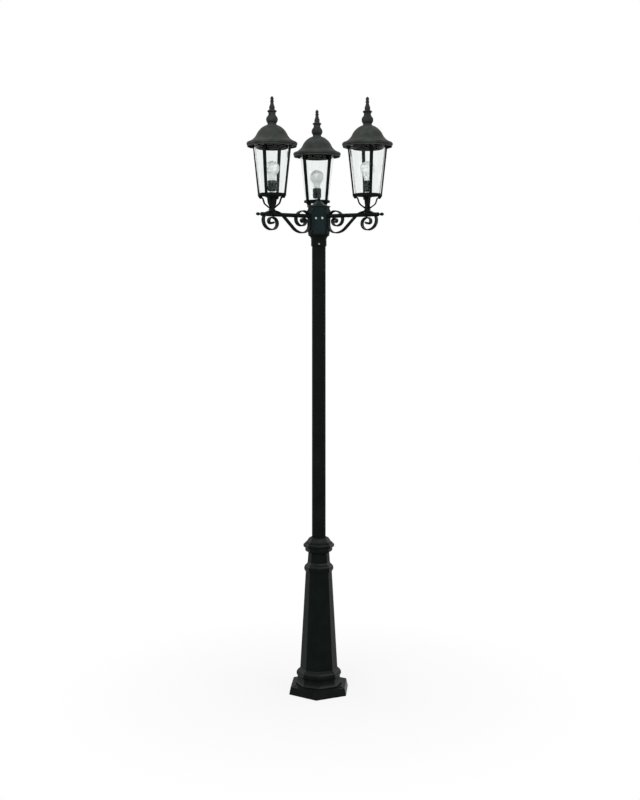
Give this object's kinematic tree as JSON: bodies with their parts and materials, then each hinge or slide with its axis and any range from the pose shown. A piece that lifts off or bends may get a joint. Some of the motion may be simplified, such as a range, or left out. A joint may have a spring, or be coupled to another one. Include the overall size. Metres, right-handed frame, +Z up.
{
  "type": "triple head lamp post",
  "caption": "Garden lamp post: fluted pole on an eight-sided pedestal, scrolled arms that each carry a lantern with a bell roof, clear glass and a bulb.",
  "frame": {"origin": "middle of the ground anchor circle, on the underside of the foot plate, on the pole's axis", "axes": "+Z up along the pole; +Y away from the viewer of the picture, along the arm at the back; +X to the viewer's right"},
  "size_m": [0.5896, 0.538, 2.4263],
  "materials": {
    "black_coat": "satin powder coat",
    "grey_coat": "fine-textured powder coat",
    "bright_steel": "satin",
    "zinc_sheet": "zinc plated",
    "cap_metal": "bright",
    "dark_plastic": "matt",
    "white_plastic": "matt",
    "clear_glass": "clear",
    "frosted_glass": "frosted"
  },
  "bodies": {
    "post": {"foot_plate": "black_coat", "plate_screws": "bright_steel", "pedestal": "black_coat", "grub_screws": "bright_steel", "base_collar": "black_coat", "pole": "black_coat"},
    "head": {"neck_socket": "black_coat", "socket_screws": "bright_steel", "hub_body": "black_coat", "hub_screws": "bright_steel", "hub_cap": "black_coat", "cap_knob": "black_coat", "wiring_shelf": "zinc_sheet", "terminal_block": "white_plastic", "arm_rod_back": "black_coat", "arm_plate_back": "black_coat", "arm_scroll_back": "black_coat", "arm_tip_back": "black_coat", "arm_rod_left": "black_coat", "arm_plate_left": "black_coat", "arm_scroll_left": "black_coat", "arm_tip_left": "black_coat", "arm_rod_right": "black_coat", "arm_plate_right": "black_coat", "arm_scroll_right": "black_coat", "arm_tip_right": "black_coat", "arm_locknuts": "bright_steel", "lantern_saddles": "black_coat", "lantern_nipples": "bright_steel"},
    "lantern_back": {"stem_back": "black_coat", "lantern_frame_back": "black_coat", "roof_screws_back": "bright_steel", "glass_back": "clear_glass", "lampholder_back": "dark_plastic"},
    "bulb_back": {"bulb_cap_back": "cap_metal", "bulb_globe_back": "frosted_glass"},
    "roof_back": {"heat_shield_back": "black_coat", "roof_back": "grey_coat", "finial_back": "grey_coat"},
    "lantern_left": {"stem_left": "black_coat", "lantern_frame_left": "black_coat", "roof_screws_left": "bright_steel", "glass_left": "clear_glass", "lampholder_left": "dark_plastic"},
    "bulb_left": {"bulb_cap_left": "cap_metal", "bulb_globe_left": "frosted_glass"},
    "roof_left": {"heat_shield_left": "black_coat", "roof_left": "grey_coat", "finial_left": "grey_coat"},
    "lantern_right": {"stem_right": "black_coat", "lantern_frame_right": "black_coat", "roof_screws_right": "bright_steel", "glass_right": "clear_glass", "lampholder_right": "dark_plastic"},
    "bulb_right": {"bulb_cap_right": "cap_metal", "bulb_globe_right": "frosted_glass"},
    "roof_right": {"heat_shield_right": "black_coat", "roof_right": "grey_coat", "finial_right": "grey_coat"}
  },
  "joints": [
    {"name": "head_swivel", "type": "hinge", "parent": "post", "child": "head", "pos_m": [0, 0, 1.86], "axis": [0, 0, 1], "range_deg": [-180, 180]},
    {"name": "lantern_turn_back", "type": "hinge", "parent": "head", "child": "lantern_back", "pos_m": [0, 0.222, 1.98], "axis": [0, 0, 1], "range_deg": [-180, 180]},
    {"name": "roof_lift_back", "type": "slide", "parent": "lantern_back", "child": "roof_back", "axis": [0, 0, 1], "range_m": [0, 0.12]},
    {"name": "bulb_lift_back", "type": "slide", "parent": "lantern_back", "child": "bulb_back", "axis": [0, 0, 1], "range_m": [0, 0.027]},
    {"name": "lantern_turn_left", "type": "hinge", "parent": "head", "child": "lantern_left", "pos_m": [-0.19226, -0.111, 1.98], "axis": [0, 0, 1], "range_deg": [-180, 180]},
    {"name": "roof_lift_left", "type": "slide", "parent": "lantern_left", "child": "roof_left", "axis": [0, 0, 1], "range_m": [0, 0.12]},
    {"name": "bulb_lift_left", "type": "slide", "parent": "lantern_left", "child": "bulb_left", "axis": [0, 0, 1], "range_m": [0, 0.027]},
    {"name": "lantern_turn_right", "type": "hinge", "parent": "head", "child": "lantern_right", "pos_m": [0.19226, -0.111, 1.98], "axis": [0, 0, 1], "range_deg": [-180, 180]},
    {"name": "roof_lift_right", "type": "slide", "parent": "lantern_right", "child": "roof_right", "axis": [0, 0, 1], "range_m": [0, 0.12]},
    {"name": "bulb_lift_right", "type": "slide", "parent": "lantern_right", "child": "bulb_right", "axis": [0, 0, 1], "range_m": [0, 0.027]}
  ]
}
